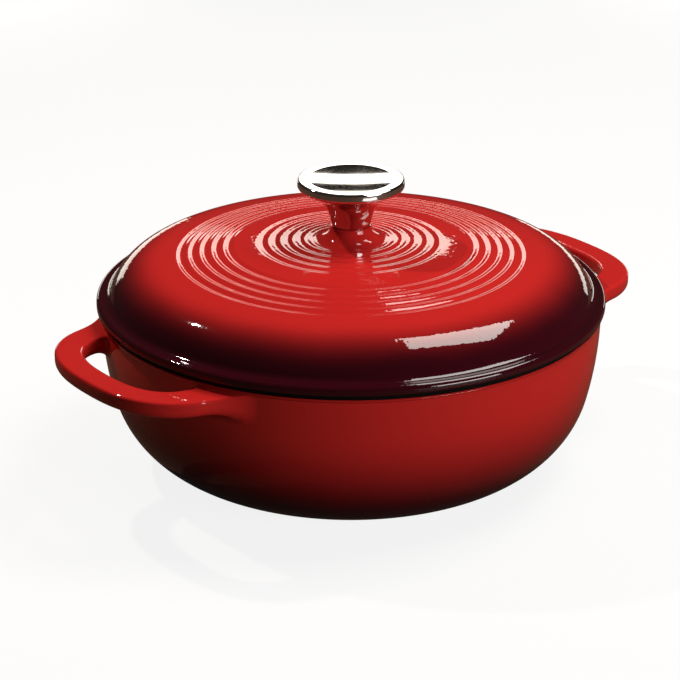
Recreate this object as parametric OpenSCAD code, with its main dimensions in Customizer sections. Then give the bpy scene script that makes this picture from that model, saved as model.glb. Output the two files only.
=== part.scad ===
// Round, bulging covered pot in enamelled cast iron: a bowl with two cast loop
// handles, a grooved lid that drops into its mouth, and a steel knob on a screw.
// Millimetres. Z up, origin on the table under the middle of the pot,
// handles along X.

/* [Pot] */
// Outside diameter of the pot at its rim
pot_d = 265.6; // [240:0.2:300]
// Height from the table to the rim
pot_h = 87.5; // [70:0.5:120]
// Radius of the belly's long upper arc
belly_r = 186; // [150:1:300]
// Radius of the corner between the side and the base
corner_r = 55; // [30:0.5:60]
// Thickness of the cast wall
wall_t = 4; // [3:0.1:6]
// Thickness of the cast floor
floor_t = 4.8; // [3.5:0.1:8]
// Rounding on the rim's two edges
rim_round = 1.2; // [0.3:0.1:1.4]
// Depth of the shallow recess under the base
recess_h = 0.8; // [0.2:0.1:1.5]
// Width of the flat ring that the pot stands on
foot_w = 9; // [4:0.5:20]

/* [Handles] */
// Finger room between the pot's side and the grip
finger_gap = 20.6; // [16:0.1:30]
// Width of the grip seen from above
grip_w = 14.2; // [10:0.1:20]
// Thickness of the grip
grip_t = 9.4; // [8:0.1:14]
// Width of a whole handle where it meets the pot
handle_w = 122; // [100:1:140]
// Width of a handle's opening
opening_w = 84; // [70:1:92]
// Height of the handle's top face below the rim
handle_drop = 3; // [2:0.1:12]
// Rounding on the handle's upper edges
grip_round_top = 1.8; // [0.5:0.1:3.5]
// Rounding on the handle's lower edges
grip_round_low = 4.6; // [2:0.1:5]
// Radius of the hollow where a handle's outer edge runs into the pot
flare_r = 26; // [12:1:32]
// How far an opening narrows at the pot, on each side
flare_in = 1.9; // [0:0.1:3]
// Length over which a handle's legs deepen towards the pot
gusset_run = 14; // [8:0.5:18]
// How far each leg deepens over that length
gusset_h = 4; // [1:0.1:8]

/* [Lid] */
// How far the lid's flange reaches past the pot's rim, all round
overhang = 2.2; // [1:0.1:4]
// Rise of the lid from its seat to the top of the plain crown
lid_h = 36.9; // [30:0.1:55]
// Thickness of the lid's shell
lid_t = 4; // [3:0.1:5.5]
// Thickness of the flange at its edge
flange_t = 7; // [6:0.1:9]
// Width of the flange's ledge outside the dome
ledge_w = 3.4; // [3:0.1:8]
// Rounding on the flange's upper edge
flange_round_top = 2.6; // [1:0.1:2.8]
// Rounding on the flange's lower edge
flange_round_low = 3; // [1:0.1:3.2]
// Radius of the hollow where the dome rises from the flange
root_r = 4.5; // [2:0.1:8]
// Radius of the dome's shoulder
shoulder_r = 28; // [18:0.5:34]
// Steepest slope of the dome, from the horizontal
wall_slope = 65; // [55:1:75]
// Depth of the lip that reaches into the pot's mouth
lip_h = 2.5; // [1.5:0.1:5]
// Clearance between the lip and the pot's mouth
lip_clear = 1.2; // [0.6:0.1:2]
// Diameter of the flat top of the knob's boss
boss_d = 22.6; // [21:0.1:26]
// Height of the boss above the plain crown
boss_h = 7; // [5:0.1:9]
// Diameter of the flat pad under the lid, around the screw hole
pad_d = 22; // [18:0.5:30]
// Height of that pad below the crown's underside
pad_h = 0.8; // [0.4:0.1:2]

/* [Grooves in the lid] */
// Grooves in each of the two groups; the boss's foot stands in the innermost one
groove_count = 5; // [1:1:5]
// Depth of the inner group's grooves
inner_depth = 0.4; // [0.2:0.05:1]
// Distance from groove to groove in the inner group
inner_pitch = 6.5; // [5:0.05:7]
// Space between the boss's foot and the bottom of the innermost groove
inner_space = 1.15; // [0.4:0.05:3]
// Depth of the outer group's grooves
outer_depth = 0.7; // [0.2:0.05:1]
// Distance from groove to groove in the outer group
outer_pitch = 6.3; // [5:0.05:7]
// Plain space between the outer group and the dome's shoulder
outer_space = 15.2; // [3:0.1:18]

/* [Knob] */
// Height of the knob above its boss
knob_h = 25.7; // [24:0.1:32]
// Diameter of the knob's cap
cap_d = 56.4; // [50:0.2:64]
// Diameter of the shallow dish in the cap's face
dish_d = 45; // [38:0.2:50]
// Depth of that dish
dish_depth = 1; // [0.2:0.1:1.5]
// Rounding on the cap's upper edge
cap_round_top = 1.1; // [0.5:0.1:1.5]
// Rounding on the cap's lower edge
cap_round_low = 1.6; // [1.5:0.1:2.5]
// Diameter of the stem's foot
stem_d = 20.4; // [19:0.1:22]
// Height of the stem's straight taper
taper_h = 5.2; // [4:0.1:7]
// Lean of that taper, from the vertical
taper_lean = 13; // [8:1:16]
// Radius of the stem's flare
stem_flare_r = 18; // [15:0.5:20]
// Slope of the cap's underside, from the horizontal
under_slope = 28; // [20:1:35]
// Thickness of the pressed steel
sheet_t = 1.2; // [0.8:0.1:1.4]
// Thickness of the plate across the stem's foot
foot_plate_t = 2; // [1.5:0.1:3]

/* [Fastening] */
// Diameter of the screw's thread
screw_d = 6; // [5:0.5:7]
// Length of the screw under its head
screw_l = 25; // [22:0.5:27]
// Diameter of the screw's head
head_d = 12; // [10:0.5:14]
// Height of the screw's head
head_h = 3.6; // [3:0.1:5]
// Clearance of the screw in the lid's hole, on the diameter
hole_play = 0.8; // [0.3:0.1:1.5]
// Outside diameter of the flat washer
washer_d = 16; // [13:0.5:20]
// Thickness of the flat washer
washer_t = 1.4; // [0.8:0.1:2]
// Outside diameter of the split lock washer
lock_d = 11.6; // [10:0.2:13]
// Thickness of the split lock washer
lock_t = 1.6; // [1:0.1:2]
// Width of the split
lock_gap = 1.2; // [0.8:0.1:2]
// Diameter of the threaded insert's body
insert_d = 12; // [10:0.5:13]
// Height of the threaded insert above the stem's foot
insert_h = 14; // [13:0.5:15]

/* [Enamel] */
// Thickness of the light enamel inside the pot and the lid
enamel_t = 0.4; // [0.2:0.05:0.8]
// Height of the bare band below the pot's rim and above the lid's seat
bare_h = 3; // [2.7:0.1:5]
// Seam that keeps a coat's solid off the iron's
coat_seam = 0.05; // [0.02:0.01:0.1]

/* [Hidden] */
$fn = 180;

enamel_red = "#b3201c";
enamel_cream = "#ece3cd";
steel_polished = "#d4d6d8";
steel_zinc = "#aab0b3";

arc_step = 4;            // degrees between the points of an arc
eps = 0.01;              // overrun of a cut past a face

// Pot
pot_r = pot_d / 2;
mouth_r = pot_r - wall_t;
bare_top = pot_h - bare_h;

// Handles
handle_top = pot_h - handle_drop;
handle_reach = pot_r + finger_gap + grip_w;
leg_out_x = sqrt(pow(pot_r, 2) - pow(handle_w / 2, 2));
leg_in_x = sqrt(pow(pot_r, 2) - pow(opening_w / 2, 2));
flare_x = sqrt(pow(pot_r + flare_r, 2) - pow(handle_w / 2 + flare_r, 2));
root_depth = 2.3;        // how deep a handle's ends are buried in the wall
outer_power = 2.5;       // squareness of the handle's outer outline
inner_power = 2.6;       // squareness of the opening
root_deepening = 2;      // depth of the gusset inside the wall, in gusset heights
handle_steps = 36;       // sections along a handle
corner_steps = 4;        // points on each rounded corner of a section

// Lid
lid_r = pot_r + overhang;
seat_z = pot_h;
flange_top = seat_z + flange_t;
crown_top = seat_z + lid_h;
ledge_r = lid_r - ledge_w;
shoulder_c = [ledge_r - (root_r + shoulder_r) * sin(wall_slope),
              flange_top + root_r - (root_r + shoulder_r) * cos(wall_slope)];
crown_drop = shoulder_c.y - crown_top;
crown_r = (pow(shoulder_r, 2) - pow(shoulder_c.x, 2) - pow(crown_drop, 2))
          / (2 * (crown_drop + shoulder_r));
crown_c = [0, crown_top - crown_r];
crown_slope = atan2(shoulder_c.x, shoulder_c.y - crown_c.y);
lip_out_r = mouth_r - lip_clear;
lip_round = 0.8;
boss_r = boss_d / 2;
boss_round = 0.9;
boss_steep = 72;         // steepest slope of the boss's hollow foot
boss_root_r = (boss_h - boss_round) / (1 - cos(boss_steep));
boss_top = crown_top + boss_h;
pad_z = crown_top - lid_t - pad_h;
crown_steps = 128;       // points along the grooved crown
boss_foot_x = boss_r + boss_root_r * sin(boss_steep);
crown_end_x = crown_r * sin(crown_slope);
inner_last_r = boss_foot_x + inner_space + (groove_count - 0.5) * inner_pitch;
outer_last_r = crown_end_x - outer_space;

// Knob, heights above the boss
cap_r = cap_d / 2;
stem_r = stem_d / 2;
stem_round = 0.6;
flare_c = [stem_r + taper_h * tan(taper_lean) + stem_flare_r * cos(taper_lean),
           taper_h - stem_flare_r * sin(taper_lean)];
flare_end = 90 - under_slope;
under_start = flare_c + stem_flare_r * [-cos(flare_end), sin(flare_end)];
low_round_x = cap_r - cap_round_low;
low_touch_x = low_round_x + cap_round_low * sin(under_slope);
low_round_z = under_start.y + (low_touch_x - under_start.x) * tan(under_slope)
              + cap_round_low * cos(under_slope);
seam_z = low_round_z + 0.6;
cap_face_r = cap_r - cap_round_top;
dish_r = (pow(dish_d / 2, 2) + pow(dish_depth, 2)) / (2 * dish_depth);
dish_half = asin(dish_d / 2 / dish_r);

// Fastening
screw_r = screw_d / 2;
thread_fit = 0.05;       // radial clearance of the thread and of the staked neck
hole_r = screw_r + hole_play / 2;
bearing_z = pad_z - enamel_t;
lock_top = bearing_z - washer_t;
head_top = lock_top - lock_t;
head_r = head_d / 2;
neck_r = stem_r / 2;
insert_r = insert_d / 2;
insert_cap_t = 1.2;      // metal above the blind thread
collar_r = insert_r + 1.8;
collar_t = 2;
washer_hole_r = hole_r - 0.2;
head_round = 1.6;
slot_w = screw_d * 0.18;
slot_l = head_d * 0.5;
slot_depth = head_h * 0.55;
lock_turn = 40;          // where the split of the lock washer faces

// ---- Outline helpers: points run in the direction of the angles ----

// Arc round c, of radius r, from angle a0 to angle a1
function arc(c, r, a0, a1, n = 0) =
    let (steps = n > 0 ? n : max(2, ceil(abs(a1 - a0) / arc_step)))
    [for (i = [0:steps]) let (a = a0 + (a1 - a0) * i / steps) c + r * [cos(a), sin(a)]];

// Side of the bowl, from the edge of its flat floor up to its rim:
// a corner arc that runs on into a long belly arc, upright at the rim
function bowl_side(rim_r, floor_z, corner, belly, stop_z) =
    let (rise = pot_h - floor_z - corner,
         belly_c = [rim_r - belly, pot_h],
         corner_c = [rim_r - belly + sqrt(pow(belly - corner, 2) - pow(rise, 2)), floor_z + corner],
         join = atan2(corner_c.y - belly_c.y, corner_c.x - belly_c.x),
         last = asin((stop_z - pot_h) / belly))
    concat(arc(corner_c, corner, -90, join), arc(belly_c, belly, join + 0.5, last, 16));

// Inside of the pot, inset by o from the cast surface, up to stop_z
function pot_inside(o, stop_z) =
    bowl_side(mouth_r - o, floor_t + o, corner_r - wall_t - o, belly_r - wall_t - o, stop_z);

function reversed(pts) = [for (i = [len(pts) - 1:-1:0]) pts[i]];

// ---- Pot ----

module bowl() {
    side = bowl_side(pot_r, 0, corner_r, belly_r, pot_h - rim_round);
    foot_r = side[0].x;
    rotate_extrude()
        polygon(concat(
            [[0, recess_h], [foot_r - foot_w, recess_h], [foot_r - foot_w + recess_h, 0]],
            side,
            arc([pot_r - rim_round, pot_h - rim_round], rim_round, 0, 90, 4),
            arc([mouth_r + rim_round, pot_h - rim_round], rim_round, 90, 180, 4),
            reversed(pot_inside(0, pot_h - rim_round)),
            [[0, floor_t]]));
}

// Point on a squared-off ellipse round [cx, 0]
function squared(cx, a, b, power, t) =
    let (c = cos(t), s = sin(t))
    [cx + a * pow(max(c, 0), 2 / power), b * sign(s) * pow(abs(s), 2 / power)];

// How far the outer outline has swung out at x, on its way into the pot
function flare(x) = flare_r - sqrt(pow(flare_r, 2) - pow(max(0, flare_x - x), 2));

// How far along its last stretch a leg is at x: 0 clear of it, 1 at the pot
function nearing(x, leg_x) = pow(max(0, leg_x + gusset_run - x) / gusset_run, 2);

// Where the line from p along u reaches the buried radius in the wall
function into_wall(p, u) =
    let (h = p * u, r = pot_r - root_depth)
    p - u * (h + sqrt(h * h - p * p + r * r));

// Section of a handle between its outer point o and its inner point i
function handle_section(o, i, low) =
    let (w = norm(o - i),
         u = (o - i) / w,
         rt = grip_round_top,
         rl = grip_round_low,
         loop = concat(
             arc([w - rl, low + rl], rl, -90, 0, corner_steps),
             arc([w - rt, handle_top - rt], rt, 0, 90, corner_steps),
             arc([rt, handle_top - rt], rt, 90, 180, corner_steps),
             arc([rl, low + rl], rl, 180, 270, corner_steps)))
    [for (p = loop) [i.x + u.x * p.x, i.y + u.y * p.x, p.y]];

// Sections of the whole loop, from one buried root to the other
function handle_sections() =
    let (out_a = handle_reach - leg_out_x,
         in_a = handle_reach - grip_w - leg_in_x,
         base = handle_top - grip_t,
         outer = function (t)
             let (p = squared(leg_out_x, out_a, handle_w / 2, outer_power, t))
             p + [0, sign(t) * flare(p.x)],
         inner = function (t)
             let (p = squared(leg_in_x, in_a, opening_w / 2, inner_power, t))
             p - [0, sign(t) * flare_in * nearing(p.x, leg_in_x)],
         turn = asin((flare_x - leg_out_x) / flare_r),
         root = function (side) handle_section(
             into_wall(outer(90 * side), [-cos(turn), side * sin(turn)]),
             into_wall(inner(90 * side), [-1, 0]),
             base - gusset_h * root_deepening))
    concat(
        [root(-1)],
        [for (k = [0:handle_steps])
            let (t = -90 + 180 * k / handle_steps, o = outer(t))
            handle_section(o, inner(t), base - gusset_h * nearing(o.x, leg_out_x))],
        [root(1)]);

// Closed skin over a row of sections with equally many points
module skin(sections) {
    n = len(sections[0]);
    last = len(sections) - 1;
    pts = [for (s = sections) for (p = s) p];
    sides = [for (k = [0:last - 1]) for (j = [0:n - 1])
                let (a = k * n + j, b = k * n + (j + 1) % n)
                for (tri = [[a, b, a + n], [b, b + n, a + n]]) tri];
    near = [for (j = [n - 1:-1:0]) j];
    far = [for (j = [0:n - 1]) last * n + j];
    polyhedron(pts, concat(sides, [near, far]));
}

module handle() {
    skin(handle_sections());
}

module pot_body() {
    color(enamel_red)
        union() {
            bowl();
            handle();
            rotate([0, 0, 180]) handle();
        }
}

module pot_lining() {
    color(enamel_cream)
        rotate_extrude()
            polygon(concat(
                [[0, floor_t + coat_seam]],
                pot_inside(coat_seam, bare_top),
                reversed(pot_inside(enamel_t, bare_top)),
                [[0, floor_t + enamel_t]]));
}

// ---- Lid ----

// Depth at radius x of one group of rounded grooves, which ends on a crest at radius last
function groove_group(x, last, pitch, depth) =
    x >= last || x <= last - groove_count * pitch ? 0
        : depth / 2 * (1 - cos(360 * (x - last) / pitch));

function crown_z(x) =
    crown_c.y + sqrt(pow(crown_r, 2) - pow(x, 2))
    - groove_group(x, inner_last_r, inner_pitch, inner_depth)
    - groove_group(x, outer_last_r, outer_pitch, outer_depth);

// Grooved crown from radius x0 out to the shoulder
function crown_top_points(x0) =
    [for (k = [0:crown_steps])
        let (x = x0 + (crown_end_x - x0) * k / crown_steps) [x, crown_z(x)]];

// Underside of the dome, inset by o, from the pad down to the height stop_z
function lid_inside(o, stop_z) =
    let (r = crown_r - lid_t - o,
         pad_r = pad_d / 2 + o,
         shoulder = shoulder_r - lid_t - o,
         wall = shoulder_c + shoulder * [sin(wall_slope), cos(wall_slope)])
    concat(
        [[0, pad_z - o], [pad_r, pad_z - o]],
        [for (k = [0:16]) let (x0 = asin(pad_r / r), a = x0 + (crown_slope - x0) * k / 16)
            crown_c + r * [sin(a), cos(a)]],
        [for (a = [crown_slope + arc_step:arc_step:wall_slope - 1])
            shoulder_c + shoulder * [sin(a), cos(a)]],
        [wall, [wall.x, stop_z]]);

// The boss's hollow foot runs down from its side onto the crown
function boss_points() =
    let (c = [boss_foot_x, crown_z(boss_foot_x) + boss_root_r])
    concat(
        [[0, boss_top]],
        arc([boss_r - boss_round, boss_top - boss_round], boss_round, 90, 20, 4),
        [for (k = [0:10]) let (a = boss_steep * (1 - k / 10)) c - boss_root_r * [sin(a), cos(a)]]);

module lid_shell() {
    inside = lid_inside(0, seat_z - lip_h);
    wall_x = inside[len(inside) - 1].x;
    rotate_extrude()
        polygon(concat(
            boss_points(),
            crown_top_points(boss_foot_x + 0.3),
            arc(shoulder_c, shoulder_r, 90 - crown_slope - 1, 90 - wall_slope),
            arc([ledge_r, flange_top + root_r], root_r, 270 - wall_slope, 270),
            arc([lid_r - flange_round_top, flange_top - flange_round_top], flange_round_top, 90, 0, 6),
            arc([lid_r - flange_round_low, seat_z + flange_round_low], flange_round_low, 0, -90, 6),
            [[lip_out_r, seat_z]],
            arc([lip_out_r - lip_round, seat_z - lip_h + lip_round], lip_round, 0, -90, 3),
            arc([wall_x + lip_round, seat_z - lip_h + lip_round], lip_round, 270, 180, 3),
            reversed([for (k = [0:len(inside) - 2]) inside[k]])));
}

module lid_body() {
    color(enamel_red)
        difference() {
            lid_shell();
            translate([0, 0, pad_z - 1]) cylinder(r = hole_r, h = boss_top - pad_z + 2);
        }
}

module lid_lining() {
    color(enamel_cream)
        difference() {
            rotate_extrude()
                polygon(concat(lid_inside(coat_seam, seat_z + bare_h),
                               reversed(lid_inside(enamel_t, seat_z + bare_h))));
            translate([0, 0, pad_z - 1]) cylinder(r = hole_r, h = 2);
        }
}

// ---- Knob ----

// Outside of the stem, inset by o, from its foot up to the seam with the cap
function stem_outline(o) =
    concat(
        arc(flare_c, stem_flare_r + o, 180 - taper_lean, 180 - flare_end),
        arc([low_round_x, low_round_z], cap_round_low - o, -90 + under_slope, 0, 5),
        [[cap_r - o, seam_z]]);

module knob_cap() {
    color(steel_polished)
        translate([0, 0, boss_top])
            rotate_extrude()
                polygon(concat(
                    arc([0, knob_h - dish_depth + dish_r], dish_r, -90, -90 + dish_half, 8),
                    arc([cap_face_r, knob_h - cap_round_top], cap_round_top, 90, 0, 5),
                    [[cap_r, seam_z], [cap_r - sheet_t, seam_z],
                     [cap_r - sheet_t, knob_h - dish_depth - sheet_t],
                     [0, knob_h - dish_depth - sheet_t]]));
}

module knob_stem() {
    inner_foot_x = stem_r + foot_plate_t * tan(taper_lean) - sheet_t / cos(taper_lean);
    color(steel_polished)
        translate([0, 0, boss_top])
            difference() {
                rotate_extrude()
                    polygon(concat(
                        [[0, 0]],
                        arc([stem_r - stem_round, stem_round], stem_round, -90, 0, 3),
                        stem_outline(0),
                        reversed(stem_outline(sheet_t)),
                        [[inner_foot_x, foot_plate_t], [0, foot_plate_t]]));
                translate([0, 0, -1]) cylinder(r = neck_r + thread_fit, h = foot_plate_t + 2);
            }
}

module knob_insert() {
    color(steel_zinc)
        translate([0, 0, boss_top])
            difference() {
                union() {
                    cylinder(r = neck_r, h = foot_plate_t + eps);
                    translate([0, 0, foot_plate_t]) cylinder(r = collar_r, h = collar_t);
                    translate([0, 0, foot_plate_t]) cylinder(r = insert_r, h = insert_h - foot_plate_t);
                }
                translate([0, 0, -1]) cylinder(r = screw_r, h = insert_h - insert_cap_t + 1);
            }
}

// ---- Fastening ----

module knob_screw() {
    color(steel_zinc)
        difference() {
            union() {
                translate([0, 0, head_top]) cylinder(r = screw_r - thread_fit, h = screw_l);
                rotate_extrude()
                    polygon(concat(
                        [[0, head_top], [0, head_top - head_h]],
                        arc([head_r - head_round, head_top - head_h + head_round], head_round, -90, 0, 5),
                        [[head_r, head_top]]));
            }
            for (turn = [0, 90])
                rotate([0, 0, turn])
                    translate([-slot_l / 2, -slot_w / 2, head_top - head_h - 1])
                        cube([slot_l, slot_w, slot_depth + 1]);
        }
}

module flat_washer() {
    color(steel_zinc)
        translate([0, 0, lock_top])
            difference() {
                cylinder(d = washer_d, h = washer_t);
                translate([0, 0, -1]) cylinder(r = washer_hole_r, h = washer_t + 2);
            }
}

module lock_washer() {
    color(steel_zinc)
        translate([0, 0, head_top])
            difference() {
                cylinder(d = lock_d, h = lock_t);
                translate([0, 0, -1]) cylinder(r = washer_hole_r, h = lock_t + 2);
                rotate([0, 0, lock_turn])
                    translate([0, -lock_gap / 2, -1])
                        cube([lock_d, lock_gap, lock_t + 2]);
            }
}

pot_body();
pot_lining();
lid_body();
lid_lining();
knob_cap();
knob_stem();
knob_insert();
knob_screw();
flat_washer();
lock_washer();
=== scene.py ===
"""Looks of a covered pot in enamelled cast iron: grooved lid, loop handles and a steel knob.

Every size is in metres, in the same frame as the solids. Z is up and the handles lie along X.
"""

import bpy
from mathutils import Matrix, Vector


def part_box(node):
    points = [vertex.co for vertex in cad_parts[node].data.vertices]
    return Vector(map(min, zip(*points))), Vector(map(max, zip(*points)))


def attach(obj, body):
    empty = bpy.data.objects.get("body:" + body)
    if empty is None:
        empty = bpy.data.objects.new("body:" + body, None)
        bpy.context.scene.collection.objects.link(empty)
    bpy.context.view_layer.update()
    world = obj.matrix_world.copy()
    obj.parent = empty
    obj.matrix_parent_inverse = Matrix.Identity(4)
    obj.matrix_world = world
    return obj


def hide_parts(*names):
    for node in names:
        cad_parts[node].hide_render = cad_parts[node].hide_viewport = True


bl_info = {
    "name": "Covered Cast Iron Pot",
    "version": (1, 0, 0),
    "blender": (4, 5, 0),
    "location": "3D View > Sidebar > Cookware",
    "description": "Builds an enamelled cast iron pot with lid and knob, and a studio stage",
    "category": "Add Mesh",
}

import math

import bmesh
import bpy
import numpy as np
from bpy.props import FloatProperty, FloatVectorProperty, IntProperty, PointerProperty
from mathutils import Vector

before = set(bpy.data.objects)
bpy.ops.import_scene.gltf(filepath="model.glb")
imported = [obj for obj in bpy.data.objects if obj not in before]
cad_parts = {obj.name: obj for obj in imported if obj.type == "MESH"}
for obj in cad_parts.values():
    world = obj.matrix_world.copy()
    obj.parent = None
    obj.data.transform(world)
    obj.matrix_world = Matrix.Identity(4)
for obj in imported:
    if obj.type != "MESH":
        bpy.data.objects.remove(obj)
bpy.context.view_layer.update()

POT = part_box("pot_body")[1]
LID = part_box("lid_body")
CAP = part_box("knob_cap")[1]
SEAT = POT.z
BOSS_TOP = LID[1].z

CREASE = math.radians(38)       # edges sharper than this stay sharp
WALL = 0.004                    # thickness of both castings
COAT, SEAM = 0.0004, 0.00005    # thickness of the light enamel, and its seam with the iron
BARE_RIM, BARE_SEAT = 0.003, 0.003  # where the light enamel stops, below and above the seat

# steps round the axis
BOWL_STEPS, LID_STEPS, LINING_STEPS, KNOB_STEPS, FLOOR_STEPS = 256, 240, 192, 160, 96


def srgb(code):
    """Linear RGB of an sRGB hex colour."""
    parts = [int(code[i:i + 2], 16) / 255 for i in (1, 3, 5)]
    return [c / 12.92 if c <= 0.04045 else ((c + 0.055) / 1.055) ** 2.4 for c in parts]


def length(name, description, default):
    """Property for a size in metres."""
    return FloatProperty(name=name, description=description, default=default,
                         min=0.0, unit="LENGTH", precision=4)


def colour(name, description, code):
    """Property for a colour, given as sRGB hex."""
    return FloatVectorProperty(name=name, description=description, default=srgb(code),
                               subtype="COLOR", size=3, min=0.0, max=1.0)


# ---- Sizes and colours that a user would change ----

class PotSettings(bpy.types.PropertyGroup):
    """Bowl and handles."""
    rim_r: length("Rim radius", "Outside radius of the bowl at its rim", POT.y)
    height: length("Height", "From the table to the rim", POT.z)
    belly_r: length("Belly radius", "Radius of the side's long upper arc", 0.186)
    corner_r: length("Corner radius", "Radius between the side and the base", 0.055)
    wall: length("Wall", "Thickness of the cast wall", WALL)
    floor: length("Floor", "Thickness of the cast floor", 0.0048)
    rim_round: length("Rim rounding", "Rounding on the rim's two edges", 0.0012)
    recess: length("Recess", "Depth of the shallow recess under the base", 0.0008)
    foot_w: length("Foot width", "Width of the flat ring that the pot stands on", 0.009)
    reach: length("Handle reach", "From the axis to the outer edge of a handle", POT.x)
    grip_w: length("Grip width", "Width of the grip seen from above", 0.0142)
    grip_t: length("Grip thickness", "Thickness of the grip", 0.0094)
    handle_w: length("Handle width", "Width of a handle where it meets the pot", 0.122)
    opening_w: length("Opening width", "Width of a handle's opening", 0.084)
    drop: length("Handle drop", "Height of a handle's top below the rim", 0.003)
    round_top: length("Grip upper rounding", "Rounding on a handle's upper edges", 0.0018)
    round_low: length("Grip lower rounding", "Rounding on a handle's lower edges", 0.0046)
    flare_r: length("Flare radius", "Hollow where the outer edge runs into the pot", 0.026)
    root_in: length("Inner root", "Size of the hollow at the ends of the opening", 0.0019)
    root_low: length("Lower root", "Depth of the webs under a handle's ends", 0.0074)
    root_top: length("Upper root", "Rise of a handle's top where it meets the pot", 0.0012)


class LidSettings(bpy.types.PropertyGroup):
    """Lid and its grooves."""
    radius: length("Radius", "Radius of the lid at its flange", LID[1].x)
    rise: length("Rise", "From the seat to the top of the plain crown", 0.0369)
    shell: length("Shell", "Thickness of the lid", WALL)
    flange_t: length("Flange", "Thickness of the flange at its edge", 0.007)
    ledge_w: length("Ledge", "Width of the ledge outside the dome", 0.0034)
    round_top: length("Upper rounding", "Rounding on the flange's upper edge", 0.0026)
    round_low: length("Lower rounding", "Rounding on the flange's lower edge", 0.003)
    root_r: length("Root radius", "Hollow where the dome rises from the flange", 0.0045)
    shoulder_r: length("Shoulder radius", "Radius of the dome's shoulder", 0.028)
    wall_slope: FloatProperty(name="Wall slope", description="Steepest slope of the dome",
                              default=math.radians(65), subtype="ANGLE")
    lip_h: length("Lip", "Depth of the lip that reaches into the pot", 0.0025)
    lip_clear: length("Lip clearance", "Play between the lip and the pot", 0.0012)
    boss_r: length("Boss radius", "Radius of the knob's boss", 0.0113)
    boss_steep: FloatProperty(name="Boss slope", description="Steepest slope of the boss's foot",
                              default=math.radians(72), subtype="ANGLE")
    pad_r: length("Pad radius", "Radius of the flat pad round the screw hole", 0.011)
    pad_h: length("Pad height", "Height of that pad", 0.0008)
    hole_r: length("Hole radius", "Radius of the screw hole", 0.0034)
    grooves: IntProperty(name="Grooves", description="Grooves in each of the two groups",
                         default=5, min=1)
    inner_depth: length("Inner depth", "Depth of the inner group's grooves", 0.0004)
    inner_pitch: length("Inner pitch", "Distance between the inner grooves", 0.0065)
    inner_space: length("Inner space", "From the boss's foot to the innermost groove", 0.00115)
    outer_depth: length("Outer depth", "Depth of the outer group's grooves", 0.0007)
    outer_pitch: length("Outer pitch", "Distance between the outer grooves", 0.0063)
    outer_space: length("Outer space", "From the outer group to the shoulder", 0.0152)


class KnobSettings(bpy.types.PropertyGroup):
    """Steel knob on its screw."""
    height: length("Height", "Height of the knob above its boss", CAP.z - BOSS_TOP)
    cap_r: length("Cap radius", "Radius of the cap", CAP.x)
    dish_r: length("Dish radius", "Radius of the shallow dish in the face", 0.0225)
    dish_depth: length("Dish depth", "Depth of that dish", 0.001)
    round_top: length("Upper rounding", "Rounding on the cap's upper edge", 0.0011)
    round_low: length("Lower rounding", "Rounding on the cap's lower edge", 0.0016)
    stem_r: length("Stem radius", "Radius of the stem's foot", 0.0102)
    taper_h: length("Taper height", "Height of the stem's straight taper", 0.0052)
    flare_r: length("Flare radius", "Radius of the stem's flare", 0.018)
    sheet: length("Sheet", "Thickness of the pressed steel", 0.0012)


class FinishSettings(bpy.types.PropertyGroup):
    """Colours of the enamels and metals."""
    red: colour("Red", "Fired red where the enamel lies thick", "#c82624")
    # dark end of the red: partly the enamel's own grading, partly painted shade where less light
    # falls
    wine_and_painted_shade: colour("Wine", "Dark red where the enamel was shaded off", "#34060f")
    seal: colour("Seal", "Matte black of the bare seat and rim", "#090808")
    cream: colour("Cream", "Enamel inside the pot and the lid", "#e9e0cb")
    steel: colour("Steel", "Polished steel of the knob", "#d2d3d2")
    zinc: colour("Zinc", "Plated steel of the fastening", "#a9aeb1")


class StageSettings(bpy.types.PropertyGroup):
    """Camera, floor and lamps."""
    distance: length("Camera distance", "From the camera to the middle of the pot", 1.6)
    target_z: length("Aim height", "Height that the camera looks at", 0.0657)
    azimuth: FloatProperty(name="Azimuth", description="Turn of the camera about the pot",
                           default=math.radians(-36.5), subtype="ANGLE")
    elevation: FloatProperty(name="Elevation", description="Height angle of the camera",
                             default=math.radians(21.9), subtype="ANGLE")
    lens: FloatProperty(name="Lens", description="Focal length in millimetres", default=158.3)
    floor: colour("Floor", "Plain floor as the camera sees it", "#ffffff")


SETTINGS = {"pot_looks_pot": PotSettings, "pot_looks_lid": LidSettings,
            "pot_looks_knob": KnobSettings, "pot_looks_finish": FinishSettings,
            "pot_looks_stage": StageSettings}


# ---- Outlines and meshes ----

def arc(cx, cz, r, start, end, steps):
    """Points round (cx, cz) from one angle in degrees to another."""
    angles = np.radians(np.linspace(start, end, steps + 1))
    return [(cx + r * math.cos(a), cz + r * math.sin(a)) for a in angles]


def smooth(mesh):
    """Shades a mesh smooth, with its sharp edges kept."""
    mesh.shade_smooth()
    mesh.set_sharp_from_angle(angle=CREASE)


def new_object(name, verts, faces, body, finish, slot):
    """Smooth mesh object that rides on a body."""
    mesh = bpy.data.meshes.new(name)
    mesh.from_pydata(verts, [], faces)
    mesh.update()
    smooth(mesh)
    obj = bpy.data.objects.new(name, mesh)
    bpy.context.scene.collection.objects.link(obj)
    obj.data.materials.append(finish)
    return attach(obj, body)


def revolve(profile, steps, closed=False):
    """Vertices and faces of an outline turned round Z. Points on the axis become poles."""
    turns = [(math.cos(2 * math.pi * k / steps), math.sin(2 * math.pi * k / steps))
             for k in range(steps)]
    verts, rows, faces = [], [], []
    for r, z in profile:
        if r < 1e-6:
            rows.append([len(verts)] * steps)
            verts.append((0.0, 0.0, z))
        else:
            rows.append(range(len(verts), len(verts) + steps))
            verts.extend((r * c, r * s, z) for c, s in turns)
    pairs = list(zip(rows, rows[1:])) + ([(rows[-1], rows[0])] if closed else [])
    for low, high in pairs:
        for k in range(steps):
            n = (k + 1) % steps
            ring = [low[k], low[n], high[n], high[k]]
            faces.append(list(dict.fromkeys(ring)))
    return verts, faces


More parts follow.
